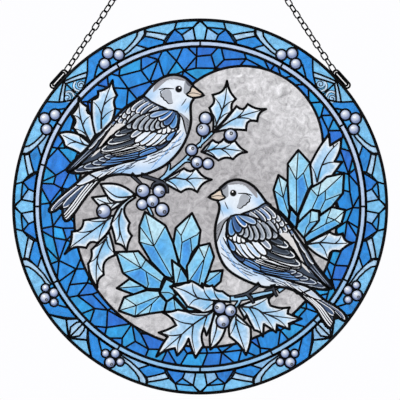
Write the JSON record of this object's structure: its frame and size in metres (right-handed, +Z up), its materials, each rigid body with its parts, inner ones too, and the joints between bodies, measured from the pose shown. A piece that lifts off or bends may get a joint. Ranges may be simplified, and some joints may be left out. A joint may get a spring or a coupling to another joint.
{
  "type": "stained glass panel",
  "caption": "Round stained glass window panel with two birds, leaves, berries and crystals, hung on a chain from one hook.",
  "frame": {"origin": "where the hook bears, on the underside of the upper bar of the chain's middle link", "axes": "+Z up along the height of the hanging panel, front facing -Y, +X to the viewer's right, panel upright and square to Y"},
  "size_m": [0.4, 0.0116, 0.5589],
  "materials": {
    "rim_metal": "black patinated metal came, satin",
    "lead_metal": "black patinated lead and solder, satin",
    "chain_metal": "black coated steel wire, semi-gloss",
    "border_glass": "mid blue and light blue streaky glass",
    "band_glass": "very pale blue glass",
    "mosaic_glass": "deep blue streaky glass in many small pieces",
    "sky_glass": "pale grey hammered glass",
    "leaf_glass": "white glass shaded to light blue at the middle of each leaf",
    "crystal_glass": "ice blue faceted glass",
    "berry_glass": "lavender pearl glass nuggets",
    "pale_bird_glass": "white glass with painted grey feathers",
    "dark_bird_glass": "slate glass with white feather edges"
  },
  "bodies": {
    "root": {"band_glass_1": "band_glass", "band_glass_2": "band_glass", "berries_bottom": "berry_glass", "berries_branch_middle": "berry_glass", "berries_branch_top": "berry_glass", "berries_perch": "berry_glass", "berry_left": "berry_glass", "berry_right": "berry_glass", "border_glass_1": "border_glass", "border_glass_2": "border_glass", "border_glass_3": "border_glass", "border_glass_4": "border_glass", "border_glass_5": "border_glass", "border_glass_6": "border_glass", "border_glass_7": "border_glass", "border_glass_8": "border_glass", "chain_left": "chain_metal", "chain_middle_link": "chain_metal", "chain_right": "chain_metal", "crystals_left": "crystal_glass", "crystals_right": "crystal_glass", "hanging_ring_left": "chain_metal", "hanging_ring_right": "chain_metal", "lead_lines": "lead_metal", "leaf_left_inner": "leaf_glass", "leaf_left_low": "leaf_glass", "leaf_left_outer": "leaf_glass", "leaf_middle": "leaf_glass", "leaf_middle_right": "leaf_glass", "leaf_right_high": "leaf_glass", "leaf_right_low": "leaf_glass", "leaves_bottom_left_1": "leaf_glass", "leaves_bottom_left_2": "leaf_glass", "leaves_bottom_right_1": "leaf_glass", "leaves_bottom_right_2": "leaf_glass", "leaves_left": "leaf_glass", "leaves_upper_left_1": "leaf_glass", "leaves_upper_left_2": "leaf_glass", "leaves_upper_right": "leaf_glass", "lower_bird_back": "dark_bird_glass", "lower_bird_breast": "pale_bird_glass", "lower_bird_head": "pale_bird_glass", "lower_bird_tail": "dark_bird_glass", "lower_bird_wing": "dark_bird_glass", "mosaic_glass_1": "mosaic_glass", "mosaic_glass_2": "mosaic_glass", "mosaic_glass_3": "mosaic_glass", "mosaic_glass_4": "mosaic_glass", "mosaic_glass_5": "mosaic_glass", "mosaic_glass_6": "mosaic_glass", "rim": "rim_metal", "sky_glass_1": "sky_glass", "sky_glass_2": "sky_glass", "sky_glass_3": "sky_glass", "sky_glass_4": "sky_glass", "upper_bird_back": "dark_bird_glass", "upper_bird_breast": "pale_bird_glass", "upper_bird_head": "pale_bird_glass", "upper_bird_tail": "dark_bird_glass", "upper_bird_wing": "dark_bird_glass"}
  },
  "joints": []
}
